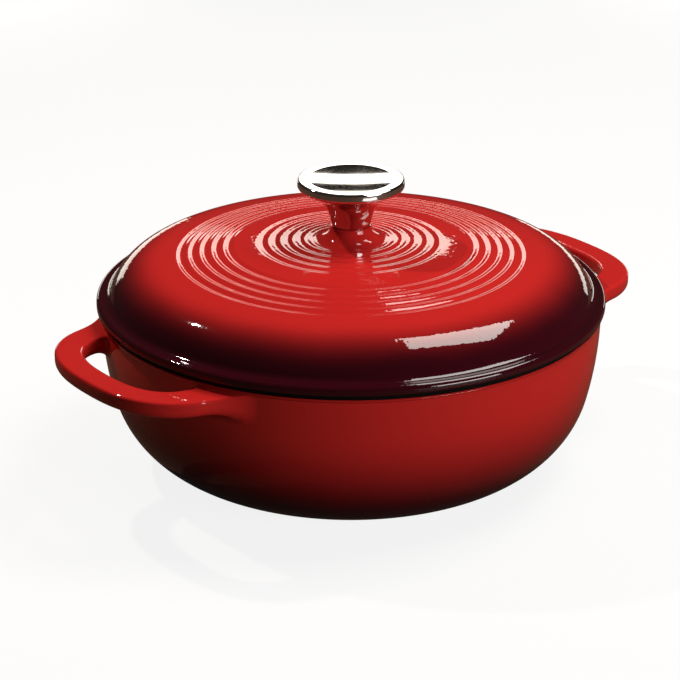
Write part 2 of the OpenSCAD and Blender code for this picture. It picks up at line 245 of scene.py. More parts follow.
def bowl_side(p, rim_r, floor_z, corner, belly, stop_z, steps=48):
    """Side of the bowl: a corner arc that runs on into a long belly arc, upright at the rim."""
    rise = p.height - floor_z - corner
    belly_x = rim_r - belly
    corner_x = belly_x + math.sqrt((belly - corner) ** 2 - rise ** 2)
    join = math.degrees(math.atan2(floor_z + corner - p.height, corner_x - belly_x))
    last = math.degrees(math.asin((stop_z - p.height) / belly))
    return (arc(corner_x, floor_z + corner, corner, -90, join, steps)
            + arc(belly_x, p.height, belly, join, last, steps // 2)[1:])


def bowl_profile(p):
    """Closed outline of the cast bowl, from under its middle to the floor inside."""
    o = p.rim_round
    side = bowl_side(p, p.rim_r, 0.0, p.corner_r, p.belly_r, p.height - o)
    mouth = p.rim_r - p.wall
    inside = bowl_side(p, mouth, p.floor, p.corner_r - p.wall, p.belly_r - p.wall, p.height - o)
    foot = side[0][0]
    return ([(0.0, p.recess), (foot - p.foot_w, p.recess), (foot - p.foot_w + p.recess, 0.0)]
            + side + arc(p.rim_r - o, p.height - o, o, 0, 90, 8)
            + arc(mouth + o, p.height - o, o, 90, 180, 8) + inside[::-1] + [(0.0, p.floor)])


def lining_profile(p):
    """Closed outline of the light enamel inside the pot."""
    def wall(o):
        return bowl_side(p, p.rim_r - p.wall - o, p.floor + o, p.corner_r - p.wall - o,
                         p.belly_r - p.wall - o, p.height - BARE_RIM)
    return [(0.0, p.floor + SEAM)] + wall(SEAM) + wall(COAT)[::-1] + [(0.0, p.floor + COAT)]


# ---- Handles ----

OUTER_POWER, INNER_POWER = 2.5, 2.6     # squareness of the grip's two outlines
PULL = 0.36                             # how far the roots keep the grip's and the wall's run
AIM_IN = 0.0004                         # depth in the wall that the grip's run is led to
LEAST_RUN = 0.3                         # least share of that run that stays straight
SUNK = (0.0008, 0.002)                  # depths of the last two rings in the wall
LEG_END = 0.001                         # from the flare's middle to the grip's last ring
AHEAD = 0.01                            # turn, in radians, that shows how the grip runs on there


def squared(cx, a, b, power, t):
    """Point on a squared-off ellipse round (cx, 0)."""
    c, s = max(math.cos(t), 0.0), math.sin(t)
    return np.array([cx + a * c ** (2 / power), math.copysign(b * abs(s) ** (2 / power), s)])


def section_loop(w, h, rt, rl):
    """Rounded section of the grip: distances from its inner edge and from its underside."""
    corners = (arc(w - rl, rl, rl, -90, 0, 9), arc(w - rt, h - rt, rt, 0, 90, 7),
               arc(rt, h - rt, rt, 90, 180, 7), arc(rl, rl, rl, 180, 270, 9))
    loop = []
    for k, corner in enumerate(corners):
        after = np.array(corners[(k + 1) % 4][0])
        end = np.array(corner[-1])
        loop += [np.array(c) for c in corner]
        loop += [end + (after - end) * s for s in (0.25, 0.5, 0.75)]
    return loop


def wall_point(p, angle, z):
    """Point on the bowl's outer side."""
    r = p.rim_r - p.belly_r + math.sqrt(p.belly_r ** 2 - (p.height - z) ** 2)
    return np.array([r * math.cos(angle), r * math.sin(angle), z])


def root_rings(p, ring, ahead, loop, w, h, side, steps=14):
    """Rings that lead the grip's end, bent round in a hollow, onto the bowl's side."""
    flare_x = math.sqrt((p.rim_r + p.flare_r) ** 2 - (p.handle_w / 2 + p.flare_r) ** 2)
    out_angle = math.atan2(p.handle_w / 2 + p.flare_r, flare_x)
    in_angle = math.asin((p.opening_w / 2 - p.root_in) / p.rim_r)
    low = p.height - p.drop - p.grip_t - p.root_low
    high = p.height - p.drop + p.root_top
    rings = [[] for _ in range(steps + 2)]
    for start, u, (x, y) in zip(ring, ahead, loop):
        foot_angle = side * (in_angle + (out_angle - in_angle) * x / w)
        foot = wall_point(p, foot_angle, low + (high - low) * y / h)
        reach = -(start[0] * u[0] + start[1] * u[1])
        gap = start[0] ** 2 + start[1] ** 2 - (p.rim_r - AIM_IN) ** 2
        run = reach - math.sqrt(reach ** 2 - gap)
        straight = start + u * run
        out = foot * [1, 1, 0] / np.linalg.norm(foot[:2])
        slide = foot - straight
        slide -= out * (slide @ out)
        size = np.linalg.norm(foot - straight)
        first = start + u * max(run - PULL * size, LEAST_RUN * run)
        last = foot - slide * PULL
        for k in range(1, steps + 1):
            s = k / steps
            rings[k - 1].append(start * (1 - s) ** 3 + first * 3 * s * (1 - s) ** 2
                                + last * 3 * s ** 2 * (1 - s) + foot * s ** 3)
        for k, depth in enumerate(SUNK):
            rings[steps + k].append(foot - out * depth)
    return rings


def handle_rings(p, steps=110):
    """Rings of points along one loop handle on the +X side, from root to root."""
    leg_out = math.sqrt(p.rim_r ** 2 - (p.handle_w / 2) ** 2)
    leg_in = math.sqrt(p.rim_r ** 2 - (p.opening_w / 2) ** 2)
    out_a = p.reach - leg_out
    in_a = p.reach - p.grip_w - leg_in
    flare_x = math.sqrt((p.rim_r + p.flare_r) ** 2 - (p.handle_w / 2 + p.flare_r) ** 2)
    last = math.acos(((flare_x + LEG_END - leg_out) / out_a) ** (OUTER_POWER / 2))
    top = p.height - p.drop

    def outer(t):
        return squared(leg_out, out_a, p.handle_w / 2, OUTER_POWER, t)

    def inner(t):
        return squared(leg_in, in_a, p.opening_w / 2, INNER_POWER, t)

    def ring(t):
        o, i = outer(t), inner(t)
        w = np.linalg.norm(o - i)
        u = (o - i) / w
        loop = section_loop(w, p.grip_t, p.round_top, p.round_low)
        return [np.array([*(i + u * x), top - p.grip_t + y]) for x, y in loop], loop, w

    rings = [ring(last * (2 * k / steps - 1))[0] for k in range(steps + 1)]
    ends = []
    for side in (-1, 1):
        t = side * last
        points, loop, w = ring(t)
        ahead_out = outer(t + side * AHEAD) - outer(t)
        ahead_in = inner(t + side * AHEAD) - inner(t)
        ahead_out /= np.linalg.norm(ahead_out)
        ahead_in /= np.linalg.norm(ahead_in)
        ahead = []
        for x, _ in loop:
            u = ahead_in + (ahead_out - ahead_in) * x / w
            ahead.append(np.array([*(u / np.linalg.norm(u)), 0.0]))
        ends.append(root_rings(p, points, ahead, loop, w, p.grip_t, side))
    return ends[0][::-1] + rings + ends[1]


def handle_mesh(p, mirror):
    """Vertices and faces of one closed handle; mirror is 1 on the right and -1 on the left."""
    rings = handle_rings(p)
    n = len(rings[0])
    verts = [(mirror * x, mirror * y, z) for ring in rings for x, y, z in ring]
    faces = []
    for k in range(len(rings) - 1):
        for j in range(n):
            m = (j + 1) % n
            faces.append([k * n + j, k * n + m, (k + 1) * n + m, (k + 1) * n + j])
    faces.append(list(range(n))[::-1])
    faces.append([(len(rings) - 1) * n + j for j in range(n)])
    return verts, faces


def outward(obj):
    """Turns every face of a closed mesh outwards."""
    mesh = bmesh.new()
    mesh.from_mesh(obj.data)
    bmesh.ops.recalc_face_normals(mesh, faces=mesh.faces)
    mesh.to_mesh(obj.data)
    mesh.free()


# ---- Lid ----

BOSS_EDGE, LIP_EDGE = 0.0009, 0.0008    # roundings of the boss's top and of the lip
CROWN_GAP = 0.0003                      # from the boss's foot to the crown's first ring


def lid_geometry(s):
    """Centres and angles that the lid's outline is built from."""
    slope = s.wall_slope
    ledge = s.radius - s.ledge_w
    flange_top = SEAT + s.flange_t
    reach = s.root_r + s.shoulder_r
    shoulder = (ledge - reach * math.sin(slope), flange_top + s.root_r - reach * math.cos(slope))
    crown_top = SEAT + s.rise
    drop = shoulder[1] - crown_top
    crown_r = (s.shoulder_r ** 2 - shoulder[0] ** 2 - drop ** 2) / (2 * (drop + s.shoulder_r))
    crown_z = crown_top - crown_r
    crown_slope = math.atan2(shoulder[0], shoulder[1] - crown_z)
    return ledge, flange_top, shoulder, crown_top, crown_r, crown_z, crown_slope


def groove_groups(s):
    """Radius of the last crest, pitch and depth of both groups of grooves."""
    crown_r, _, crown_slope = lid_geometry(s)[4:]
    inner = boss_foot(s)[0] + s.inner_space + (s.grooves - 0.5) * s.inner_pitch
    outer = crown_r * math.sin(crown_slope) - s.outer_space
    return (inner, s.inner_pitch, s.inner_depth), (outer, s.outer_pitch, s.outer_depth)


def boss_foot(s):
    """Radius where the boss's foot meets the crown, and radius of the hollow there."""
    height = BOSS_TOP - SEAT - s.rise
    hollow = (height - BOSS_EDGE) / (1 - math.cos(s.boss_steep))
    return s.boss_r + hollow * math.sin(s.boss_steep), hollow


def lid_inside(s, inset, stop_z):
    """Underside of the dome, from the pad down to the height stop_z."""
    _, _, shoulder, crown_top, crown_r, crown_z, crown_slope = lid_geometry(s)
    r = crown_r - s.shell - inset
    pad = s.pad_r + inset
    pad_z = crown_top - s.shell - s.pad_h - inset
    fillet = s.shoulder_r - s.shell - inset
    first = math.degrees(math.asin(pad / r))
    slope = math.degrees(crown_slope)
    wall = math.degrees(s.wall_slope)
    points = [(s.hole_r, pad_z), (pad, pad_z)]
    points += arc(0.0, crown_z, r, 90 - first, 90 - slope, 30)
    points += arc(shoulder[0], shoulder[1], fillet, 90 - slope, 90 - wall, 24)[1:]
    return points + [(points[-1][0], stop_z)]


def lid_profile(s):
    """Closed outline of the lid's casting before its grooves, and the stretch that carries them."""
    ledge, flange_top, shoulder, _, crown_r, crown_z, crown_slope = lid_geometry(s)
    slope, wall = math.degrees(crown_slope), math.degrees(s.wall_slope)
    lip_r = POT.y - WALL - s.lip_clear
    lip_z = SEAT - s.lip_h + LIP_EDGE
    inside = lid_inside(s, 0.0, SEAT - s.lip_h)
    wall_x = inside[-1][0]
    foot_x, hollow = boss_foot(s)
    (last, pitch, depth), _ = groove_groups(s)
    cut = depth / 2 * (1 - math.cos(2 * math.pi * (foot_x - last) / pitch))
    foot_z = crown_z + math.sqrt(crown_r ** 2 - foot_x ** 2) - cut + hollow
    boss = ([(s.hole_r, BOSS_TOP)]
            + arc(s.boss_r - BOSS_EDGE, BOSS_TOP - BOSS_EDGE, BOSS_EDGE, 90, 20, 6)
            + arc(foot_x, foot_z, hollow, -90 - math.degrees(s.boss_steep), -90, 24))
    end_x = crown_r * math.sin(crown_slope)
    crown = [(x, crown_z + math.sqrt(crown_r ** 2 - x ** 2))
             for x in np.linspace(foot_x + CROWN_GAP, end_x, 170)]
    rest = (arc(shoulder[0], shoulder[1], s.shoulder_r, 90 - slope, 90 - wall, 36)[1:]
            + arc(ledge, flange_top + s.root_r, s.root_r, 270 - wall, 270, 24)[1:]
            + arc(s.radius - s.round_top, flange_top - s.round_top, s.round_top, 90, 0, 20)
            + arc(s.radius - s.round_low, SEAT + s.round_low, s.round_low, 0, -90, 20)
            + [(lip_r, SEAT)]
            + arc(lip_r - LIP_EDGE, lip_z, LIP_EDGE, 0, -90, 5)
            + arc(wall_x + LIP_EDGE, lip_z, LIP_EDGE, 270, 180, 5)
            + inside[:-1][::-1])
    return (boss + crown + rest)[::-1], len(rest), len(crown)


def groove_tree(finish):
    """Geometry Nodes tree that cuts two groups of rounded grooves into a lid's marked crown."""
    tree = bpy.data.node_groups.new("lid_grooves", "GeometryNodeTree")
    face = tree.interface
    face.new_socket("Lid", in_out="INPUT", socket_type="NodeSocketGeometry")
    for name in ("Grooves", "Inner Last", "Inner Pitch", "Inner Depth",
                 "Outer Last", "Outer Pitch", "Outer Depth"):
        face.new_socket(name, in_out="INPUT", socket_type="NodeSocketFloat")
    face.new_socket("Grooved Lid", in_out="OUTPUT", socket_type="NodeSocketGeometry")
    given = add(tree, "NodeGroupInput").outputs
    radius = axis_distance(tree, add(tree, "GeometryNodeInputPosition"))
    cuts = []
    for group in ("Inner", "Outer"):
        # turns back from the last crest: 0 there, one for each groove
        back = add(tree, "ShaderNodeMath", {0: given[f"{group} Last"], 1: radius},
                   operation="SUBTRACT")
        turns = add(tree, "ShaderNodeMath", {0: back, 1: given[f"{group} Pitch"]},
                    operation="DIVIDE")
        angle = add(tree, "ShaderNodeMath", {0: turns, 1: 2 * math.pi}, operation="MULTIPLY")
        wave = add(tree, "ShaderNodeMath", {0: angle}, operation="COSINE")
        share = add(tree, "ShaderNodeMath", {0: wave, 1: -0.5, 2: 0.5},
                    operation="MULTIPLY_ADD")
        # the wave holds from the last crest to the first, and is level beyond both
        after = add(tree, "ShaderNodeMath", {0: turns, 1: 0.0}, operation="GREATER_THAN")
        before = add(tree, "ShaderNodeMath", {0: turns, 1: given["Grooves"]},
                     operation="LESS_THAN")
        span = add(tree, "ShaderNodeMath", {0: after, 1: before}, operation="MULTIPLY")
        groove = add(tree, "ShaderNodeMath", {0: share, 1: span}, operation="MULTIPLY")
        cuts.append(add(tree, "ShaderNodeMath", {0: groove, 1: given[f"{group} Depth"]},
                        operation="MULTIPLY"))
    cut = add(tree, "ShaderNodeMath", {0: cuts[0], 1: cuts[1]}, operation="ADD")
    drop = add(tree, "ShaderNodeMath", {0: cut, 1: -1.0}, operation="MULTIPLY")
    offset = add(tree, "ShaderNodeCombineXYZ", {"Z": drop})
    marked = add(tree, "GeometryNodeInputNamedAttribute", {"Name": "crown"}, data_type="BOOLEAN")
    moved = add(tree, "GeometryNodeSetPosition",
                {"Geometry": given["Lid"], "Selection": marked, "Offset": offset})
    real = add(tree, "GeometryNodeRealizeInstances", {"Geometry": moved})
    enamelled = add(tree, "GeometryNodeSetMaterial", {"Geometry": real, "Material": finish})
    add(tree, "NodeGroupOutput", {"Grooved Lid": enamelled})
    return tree


def made_plain(obj, tree, values):
    """Runs a Geometry Nodes tree on an object and keeps the result as its plain mesh."""
    modifier = obj.modifiers.new("shape", "NODES")
    modifier.node_group = tree
    sockets = {i.name: i.identifier for i in tree.interface.items_tree
               if i.item_type == "SOCKET" and i.in_out == "INPUT"}
    for name, value in values.items():
        modifier[sockets[name]] = value
    graph = bpy.context.evaluated_depsgraph_get()
    mesh = bpy.data.meshes.new_from_object(obj.evaluated_get(graph), depsgraph=graph)
    obj.modifiers.clear()
    mesh.name = obj.name
    obj.data = mesh
    smooth(mesh)


# ---- Knob ----

LEAN, UNDER = 13, 28            # degrees that the stem's taper and the cap's underside lean
SEAM_RISE = 0.0006              # from the end of the cap's lower rounding to the welded seam
FOOT_ROUND, FOOT_PLATE = 0.0006, 0.002  # rounding and thickness of the stem's foot
FOOT_HOLE = 0.00515             # radius of the hole that holds the insert's neck
MARGIN = 0.0002                 # level rings this close to the dish and the edge keep it a mirror


def stem_outline(k, inset):
    """Outside of the stem up to its seam with the cap, and the seam's height above the boss."""
    lean, under = math.radians(LEAN), math.radians(UNDER)
    cx = k.stem_r + k.taper_h * math.tan(lean) + k.flare_r * math.cos(lean)
    cz = k.taper_h - k.flare_r * math.sin(lean)
    touch_x = cx - k.flare_r * math.sin(under)
    touch_z = cz + k.flare_r * math.cos(under)
    low_x = k.cap_r - k.round_low
    low_z = (touch_z + (low_x + k.round_low * math.sin(under) - touch_x) * math.tan(under)
             + k.round_low * math.cos(under))
    seam = low_z + SEAM_RISE
    return (arc(cx, cz, k.flare_r + inset, 180 - LEAN, 90 + UNDER, 24)
            + arc(low_x, low_z, k.round_low - inset, -90 + UNDER, 0, 10)
            + [(k.cap_r - inset, seam)]), seam


def stem_profile(k):
    """Closed outline of the hollow stem."""
    outside, inside = stem_outline(k, 0.0)[0], stem_outline(k, k.sheet)[0]
    lean = math.radians(LEAN)
    inner = k.stem_r + FOOT_PLATE * math.tan(lean) - k.sheet / math.cos(lean)
    points = ([(FOOT_HOLE, 0.0)]
              + arc(k.stem_r - FOOT_ROUND, FOOT_ROUND, FOOT_ROUND, -90, 0, 5) + outside
              + inside[::-1] + [(inner, FOOT_PLATE), (FOOT_HOLE, FOOT_PLATE)])
    return [(r, z + BOSS_TOP) for r, z in points]


def cap_profile(k):
    """Closed outline of the cap: flat margin round a shallow dish."""
    seam = stem_outline(k, 0.0)[1]
    bowl = (k.dish_r ** 2 + k.dish_depth ** 2) / (2 * k.dish_depth)
    half = math.degrees(math.asin(k.dish_r / bowl))
    top = k.height
    low = top - k.dish_depth - k.sheet
    edge, inner = k.cap_r - k.round_top, k.cap_r - k.sheet
    points = (arc(0.0, top - k.dish_depth + bowl, bowl, -90, -90 + half * 0.99, 40)
              + [(k.dish_r, top), (k.dish_r + MARGIN, top), (edge - MARGIN, top)]
              + arc(edge, top - k.round_top, k.round_top, 90, 0, 10)
              + [(k.cap_r, seam), (inner, seam), (inner, low), (0.0, low)])
    points[0] = (0.0, points[0][1])
    return [(r, z + BOSS_TOP) for r, z in points][::-1]


# ---- Materials ----

# patterns, in cells to the metre
CLOUD, PEEL, DUST = 22.0, 320.0, 900.0      # red enamel: cells of 45 mm, 3 mm and 1 mm
TINT, RIPPLE, SPECK = 30.0, 120.0, 1100.0   # light enamel: 33 mm, 8 mm and 1 mm
HAIRLINE, SMEAR = 2600.0, 70.0              # polish: 0.4 mm, coarse enough to show, and 14 mm
BLOTCH, GRAIN = 400.0, 400.0                # zinc and paper: 2.5 mm

DRIFT = 0.004                   # how far the clouds carry the red's shading
PEEL_H = 0.000055               # height of the orange peel
BEAD_W = 0.0008                 # half the width of the enamel's bead
MIRRORED_WHITE = 0.01           # share of the white ground that mirrors show: the room is dark
PAPER_WHITE = 0.86              # share of the floor's white that is its own; the rest shows shadow


def add(tree, kind, inputs=None, **settings):
    """Adds a node, with its settings, and sets or links its inputs.

    An input given as a node is linked to the first output that the node has in use.
    """
    node = tree.nodes.new(kind)
    for name, value in settings.items():
        setattr(node, name, value)
    for socket, value in (inputs or {}).items():
        if isinstance(value, bpy.types.Node):
            value = next(out for out in value.outputs if out.enabled)
        if isinstance(value, bpy.types.NodeSocket):
            tree.links.new(value, node.inputs[socket])
        else:
            node.inputs[socket].default_value = value
    return node


def axis_distance(tree, place):
    """Distance of a place from the Z axis."""
    flat = add(tree, "ShaderNodeVectorMath", {0: place, 1: (1, 1, 0)}, operation="MULTIPLY")
    return add(tree, "ShaderNodeVectorMath", {0: flat}, operation="LENGTH")


def seen_white(tree, ray, share):
    """Share of white that a ray sees: the given one from the camera, and little in a mirror."""
    mirrored = add(tree, "ShaderNodeMath", {0: ray["Is Glossy Ray"], 1: ray["Is Transmission Ray"]},
                   operation="ADD")
    faint = add(tree, "ShaderNodeMath", {0: mirrored, 1: MIRRORED_WHITE}, operation="MULTIPLY")
    return add(tree, "ShaderNodeMath", {0: ray["Is Camera Ray"], 1: share, 2: faint},
               operation="MULTIPLY_ADD")


def new_material(name):
    """Empty material, its node tree and the place on the object."""
    material = bpy.data.materials.new(name)
    material.use_nodes = True
    tree = material.node_tree
    tree.nodes.clear()
    return material, tree, add(tree, "ShaderNodeTexCoord").outputs["Object"]


def rgba(value):
    """Colour with its alpha."""
    return (*value, 1.0)


def red_enamel(name, colours, along, start, end, above, seal_z, seal_r, seal_inner_z, bead):
    """Vitreous enamel, sprayed and fired on iron: deep glassy red, darkened partly by grading,
    partly by painted shade.

    The gloss is a clear glass skin with a faint orange peel. The red darkens along the
    radius or the height, from start to end: partly the enamel's own grading and partly
    painted shade where less light falls. The seal is the seat, left matte black: it lies
    above seal_z or below it, and bead is the height of the enamel's edge beside it.
    """
    material, tree, place = new_material(name)
    height = add(tree, "ShaderNodeSeparateXYZ", {"Vector": place}).outputs["Z"]
    radius = axis_distance(tree, place)
    cloud = add(tree, "ShaderNodeTexNoise", {"Vector": place, "Scale": CLOUD, "Detail": 2.0})
    drift = add(tree, "ShaderNodeMath",
                {0: cloud, 1: DRIFT, 2: radius if along == "radius" else height},
                operation="MULTIPLY_ADD")
    # painted shade: share of the dark red, partly the enamel's own grading and partly shade painted
    # in where less light falls
    shade = add(tree, "ShaderNodeMapRange", {"Value": drift, "From Min": start, "From Max": end},
                interpolation_type="SMOOTHSTEP")
    glaze_and_painted_shade = add(tree, "ShaderNodeMix",
                {"Factor": shade, "A": rgba(colours.red), "B": rgba(colours.wine_and_painted_shade)},
                data_type="RGBA")
    # matte seal: one band by height, and the inner one by radius and height
    past = "GREATER_THAN" if above else "LESS_THAN"
    band = add(tree, "ShaderNodeMath", {0: height, 1: seal_z}, operation=past)
    near = add(tree, "ShaderNodeMath", {0: radius, 1: seal_r}, operation="LESS_THAN")
    level = add(tree, "ShaderNodeMath", {0: height, 1: seal_inner_z}, operation=past)
    inner = add(tree, "ShaderNodeMath", {0: near, 1: level}, operation="MULTIPLY")
    seal = add(tree, "ShaderNodeMath", {0: band, 1: inner}, operation="MAXIMUM")
    skin = add(tree, "ShaderNodeMix", {"Factor": seal, "A": glaze_and_painted_shade, "B": rgba(colours.seal)},
               data_type="RGBA")
    # orange peel: swells about 3 mm across and a few hundredths of a millimetre high
    peel = add(tree, "ShaderNodeTexNoise",
               {"Vector": place, "Scale": PEEL, "Detail": 1.0, "Roughness": 0.4})
    swell = add(tree, "ShaderNodeMath", {0: peel, 1: PEEL_H}, operation="MULTIPLY")
    # the fired enamel draws up into a bead along the bare rim, and a lower one on the lid
    sign = -1.0 if above else 1.0
    away = add(tree, "ShaderNodeMath", {0: height, 1: sign, 2: -sign * seal_z},
               operation="MULTIPLY_ADD")
    up = add(tree, "ShaderNodeMapRange", {"Value": away, "From Min": 0.0, "From Max": BEAD_W},
             interpolation_type="SMOOTHSTEP")
    down = add(tree, "ShaderNodeMapRange",
               {"Value": away, "From Min": BEAD_W, "From Max": 2 * BEAD_W, "To Min": bead,
                "To Max": 0.0}, interpolation_type="SMOOTHSTEP")
    relief = add(tree, "ShaderNodeMath", {0: up, 1: down, 2: swell}, operation="MULTIPLY_ADD")
    bump = add(tree, "ShaderNodeBump", {"Height": relief, "Strength": 1.0, "Distance": 1.0})
    dust = add(tree, "ShaderNodeTexNoise", {"Vector": place, "Scale": DUST, "Detail": 2.0})
    gloss = add(tree, "ShaderNodeMapRange", {"Value": dust, "To Min": 0.03, "To Max": 0.05})
    rough = add(tree, "ShaderNodeMix", {"Factor": seal, "A": gloss, "B": 0.85})
    gleam = add(tree, "ShaderNodeMix", {"Factor": seal, "A": 0.5, "B": 0.12})
    shader = add(tree, "ShaderNodeBsdfPrincipled",
                 {"Base Color": skin, "Roughness": rough, "Normal": bump, "IOR": 1.5,
                  "Specular IOR Level": gleam})
    add(tree, "ShaderNodeOutputMaterial", {"Surface": shader})
    return material


def cream_enamel(colours):
    """Vitreous enamel, slushed and fired: warm off-white with a glassy skin and a few specks."""
    material, tree, place = new_material("cream_vitreous_enamel")
    cloud = add(tree, "ShaderNodeTexNoise", {"Vector": place, "Scale": TINT, "Detail": 3.0})
    warm = [c * f for c, f in zip(colours.cream, (0.93, 0.90, 0.84))]
    tone = add(tree, "ShaderNodeMix",
               {"Factor": cloud, "A": rgba(colours.cream), "B": rgba(warm)}, data_type="RGBA")
    # specks of the ground coat, about 0.5 mm across
    grain = add(tree, "ShaderNodeTexNoise", {"Vector": place, "Scale": SPECK, "Detail": 1.0})
    speck = add(tree, "ShaderNodeMapRange",
                {"Value": grain, "From Min": 0.73, "From Max": 0.78, "To Max": 0.55})
    base = add(tree, "ShaderNodeMix", {"Factor": speck, "A": tone, "B": rgba(srgb("#8d8069"))},
               data_type="RGBA")
    ripple = add(tree, "ShaderNodeTexNoise", {"Vector": place, "Scale": RIPPLE, "Detail": 1.5})
    bump = add(tree, "ShaderNodeBump", {"Height": ripple, "Distance": 0.00003})
    shader = add(tree, "ShaderNodeBsdfPrincipled",
                 {"Base Color": base, "Roughness": 0.12, "IOR": 1.5, "Normal": bump})
    add(tree, "ShaderNodeOutputMaterial", {"Surface": shader})
    return material


def polished_steel(colours):
    """Stainless steel, pressed and mirror polished: bright, with hairlines from the wheel."""
    material, tree, place = new_material("mirror_polished_stainless_steel")
    # hairlines run round the axis: fine in height and radius
    height = add(tree, "ShaderNodeSeparateXYZ", {"Vector": place}).outputs["Z"]
    rings = add(tree, "ShaderNodeCombineXYZ", {"X": axis_distance(tree, place), "Y": height})
    lines = add(tree, "ShaderNodeTexNoise", {"Vector": rings, "Scale": HAIRLINE, "Detail": 3.0})
    smear = add(tree, "ShaderNodeTexNoise", {"Vector": place, "Scale": SMEAR, "Detail": 3.0})
    both = add(tree, "ShaderNodeMath", {0: lines, 1: smear}, operation="MULTIPLY")
    rough = add(tree, "ShaderNodeMapRange",
                {"Value": both, "From Min": 0.12, "From Max": 0.4, "To Min": 0.035,
                 "To Max": 0.10})
    bump = add(tree, "ShaderNodeBump", {"Height": lines, "Strength": 0.4, "Distance": 0.000002})
    shader = add(tree, "ShaderNodeBsdfPrincipled",
                 {"Base Color": rgba(colours.steel), "Metallic": 1.0, "Roughness": rough,
                  "Normal": bump})
    add(tree, "ShaderNodeOutputMaterial", {"Surface": shader})
    return material


def zinc_steel(colours):
    """Mild steel, turned and zinc plated: bluish grey, satin, slightly blotchy."""
    material, tree, place = new_material("zinc_plated_steel")
    blotch = add(tree, "ShaderNodeTexNoise", {"Vector": place, "Scale": BLOTCH, "Detail": 4.0})
    dull = [c * 0.8 for c in colours.zinc]
    tone = add(tree, "ShaderNodeMix",
               {"Factor": blotch, "A": rgba(colours.zinc), "B": rgba(dull)}, data_type="RGBA")
    rough = add(tree, "ShaderNodeMapRange", {"Value": blotch, "To Min": 0.22, "To Max": 0.42})
    bump = add(tree, "ShaderNodeBump", {"Height": blotch, "Distance": 0.00001})
    shader = add(tree, "ShaderNodeBsdfPrincipled",
                 {"Base Color": tone, "Metallic": 1.0, "Roughness": rough, "Normal": bump})
    add(tree, "ShaderNodeOutputMaterial", {"Surface": shader})
    return material


def floor_paper(colours):
    """Plain pale paper: the camera sees it nearly white, with the pot's shadow on it. Every other
    ray sees a dark warm brown, a painted shade round the pot that keeps the pot's lower side and
    its reflections dark.
    """
    material, tree, place = new_material("matte_floor_paper")
    ray = add(tree, "ShaderNodeLightPath").outputs
    grain = add(tree, "ShaderNodeTexNoise", {"Vector": place, "Scale": GRAIN, "Detail": 2.0})
    # painted shade: the dark brown that bounced light and mirrors see, while the camera sees the
    # plain floor
    warm = add(tree, "ShaderNodeMix",
               {"Factor": grain, "A": rgba(srgb("#4e2c14")), "B": rgba(srgb("#563218"))},
               data_type="RGBA")
    tone = add(tree, "ShaderNodeMix",
               {"Factor": ray["Is Camera Ray"], "A": warm, "B": rgba(colours.floor)},
               data_type="RGBA")
    paper = add(tree, "ShaderNodeBsdfPrincipled", {"Base Color": tone, "Roughness": 0.9})
    glow = add(tree, "ShaderNodeEmission", {"Color": rgba(colours.floor), "Strength": 1.0})
    mixed = add(tree, "ShaderNodeMixShader",
                {0: seen_white(tree, ray, PAPER_WHITE), 1: paper, 2: glow})
    add(tree, "ShaderNodeOutputMaterial", {"Surface": mixed})
    return material


FINISHES = {}


def finish(name):
    """One of the shared finishes, made the first time it is asked for."""
    colours = bpy.context.scene.pot_looks_finish
    if name not in FINISHES:
        FINISHES[name] = {
            # painted shade: the pot's red darkens towards the base, partly the enamel's own
            # grading, partly shade painted in where less light reaches
            "pot": lambda: red_enamel(
                "red_vitreous_enamel_pot", colours, along="height", start=0.070, end=0.014,
                above=True, seal_z=SEAT - 0.0006, seal_r=0.1315, seal_inner_z=SEAT - 0.00305,
                bead=0.0005),
            # painted shade: the lid's red darkens towards the shoulder and flange, partly the
            # enamel's own grading, partly shade painted in where less light reaches
            "lid": lambda: red_enamel(
                "red_vitreous_enamel_lid", colours, along="radius", start=0.102, end=0.128,
                above=False, seal_z=SEAT + 0.0026, seal_r=0.1295, seal_inner_z=SEAT + 0.0032,
                bead=0.0001),
            "cream": lambda: cream_enamel(colours),
            "steel": lambda: polished_steel(colours),
            "zinc": lambda: zinc_steel(colours),
            "floor": lambda: floor_paper(bpy.context.scene.pot_looks_stage),
        }[name]()
    return FINISHES[name]


# ---- Operators ----

class POTLOOKS_OT_pot(bpy.types.Operator):
    """Builds the bowl with its two cast handles and the light enamel inside it"""
    bl_idname = "pot_looks.pot"
    bl_label = "Pot"

    def execute(self, context):
        p = context.scene.pot_looks_pot
        verts, faces = revolve(bowl_profile(p), BOWL_STEPS)
        for mirror in (1, -1):
            more, sides = handle_mesh(p, mirror)
            shift = len(verts)
            verts += more
            faces += [[v + shift for v in side] for side in sides]
        casting = new_object("pot_casting", verts, faces, "pot", finish("pot"), "pot_enamel")
        outward(casting)
        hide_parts("pot_body")
        lining = new_object("pot_enamel_lining", *revolve(lining_profile(p), LINING_STEPS),
                            "pot", finish("cream"), "inner_enamel")
        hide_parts("pot_lining")
        return {"FINISHED"}


class POTLOOKS_OT_lid(bpy.types.Operator):
    """Builds the grooved lid and the light enamel inside it"""
    bl_idname = "pot_looks.lid"
    bl_label = "Lid"

    def execute(self, context):
        s = context.scene.pot_looks_lid
        profile, after, ringed = lid_profile(s)
        verts, faces = revolve(profile, LID_STEPS, closed=True)
        casting = new_object("lid_casting", verts, faces, "lid", finish("lid"), "lid_enamel")
        crown = casting.data.attributes.new("crown", "BOOLEAN", "POINT")
        first, last = after * LID_STEPS, (after + ringed) * LID_STEPS
        crown.data.foreach_set("value", [first <= k < last for k in range(len(verts))])
        values = {"Grooves": float(s.grooves)}
        for group, numbers in zip(("Inner", "Outer"), groove_groups(s)):
            for size, number in zip(("Last", "Pitch", "Depth"), numbers):
                values[f"{group} {size}"] = number
        made_plain(casting, groove_tree(finish("lid")), values)
        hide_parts("lid_body")
        stop = SEAT + BARE_SEAT
        profile = lid_inside(s, COAT, stop) + lid_inside(s, SEAM, stop)[::-1]
        lining = new_object("lid_enamel_lining", *revolve(profile, LINING_STEPS, closed=True),
                            "lid", finish("cream"), "inner_enamel")
        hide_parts("lid_lining")
        return {"FINISHED"}


